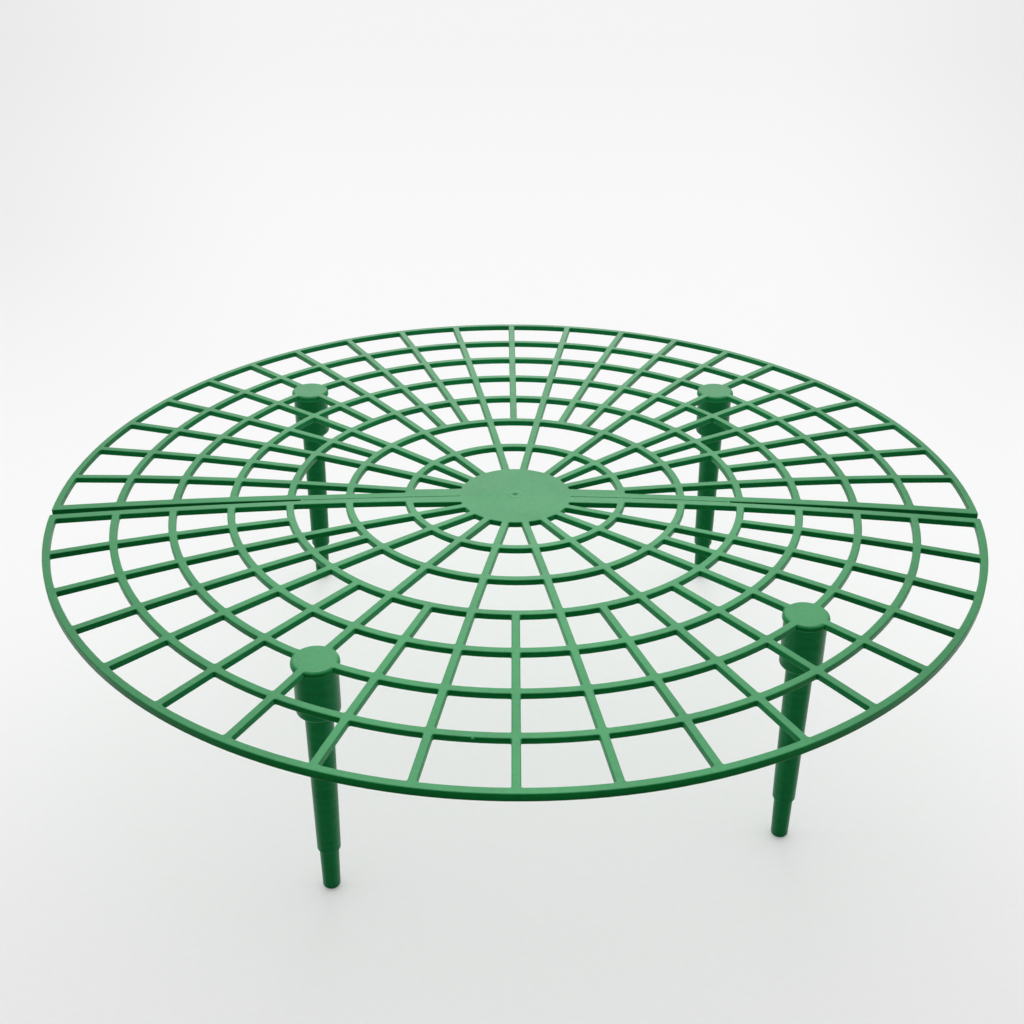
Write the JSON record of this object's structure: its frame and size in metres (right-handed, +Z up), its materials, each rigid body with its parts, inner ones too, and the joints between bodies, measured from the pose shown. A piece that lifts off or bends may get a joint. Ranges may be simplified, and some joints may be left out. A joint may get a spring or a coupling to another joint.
{
  "type": "plant support",
  "caption": "Round plant support: a slightly crowned web-like plastic grid with a solid hub and a split seam, standing on stepped push-on legs.",
  "frame": {"origin": "on the ground under the middle of the hub, which is the middle of the round grid", "axes": "+Z up, +X along the seam to the right, -Y towards the front half"},
  "size_m": [0.3002, 0.3002, 0.0823],
  "materials": {
    "grid_green": "satin moulded",
    "leg_green": "satin moulded"
  },
  "bodies": {
    "grid": {"grid_disc": "grid_green"},
    "front_left_leg": {"leg_front_left": "leg_green"},
    "front_right_leg": {"leg_front_right": "leg_green"},
    "rear_left_leg": {"leg_rear_left": "leg_green"},
    "rear_right_leg": {"leg_rear_right": "leg_green"}
  },
  "joints": [
    {"name": "front_left_leg_pull", "type": "slide", "parent": "grid", "child": "front_left_leg", "axis": [0, 0, -1], "range_m": [0, 0.0125]},
    {"name": "front_right_leg_pull", "type": "slide", "parent": "grid", "child": "front_right_leg", "axis": [0, 0, -1], "range_m": [0, 0.0125]},
    {"name": "rear_left_leg_pull", "type": "slide", "parent": "grid", "child": "rear_left_leg", "axis": [0, 0, -1], "range_m": [0, 0.0125]},
    {"name": "rear_right_leg_pull", "type": "slide", "parent": "grid", "child": "rear_right_leg", "axis": [0, 0, -1], "range_m": [0, 0.0125]}
  ]
}
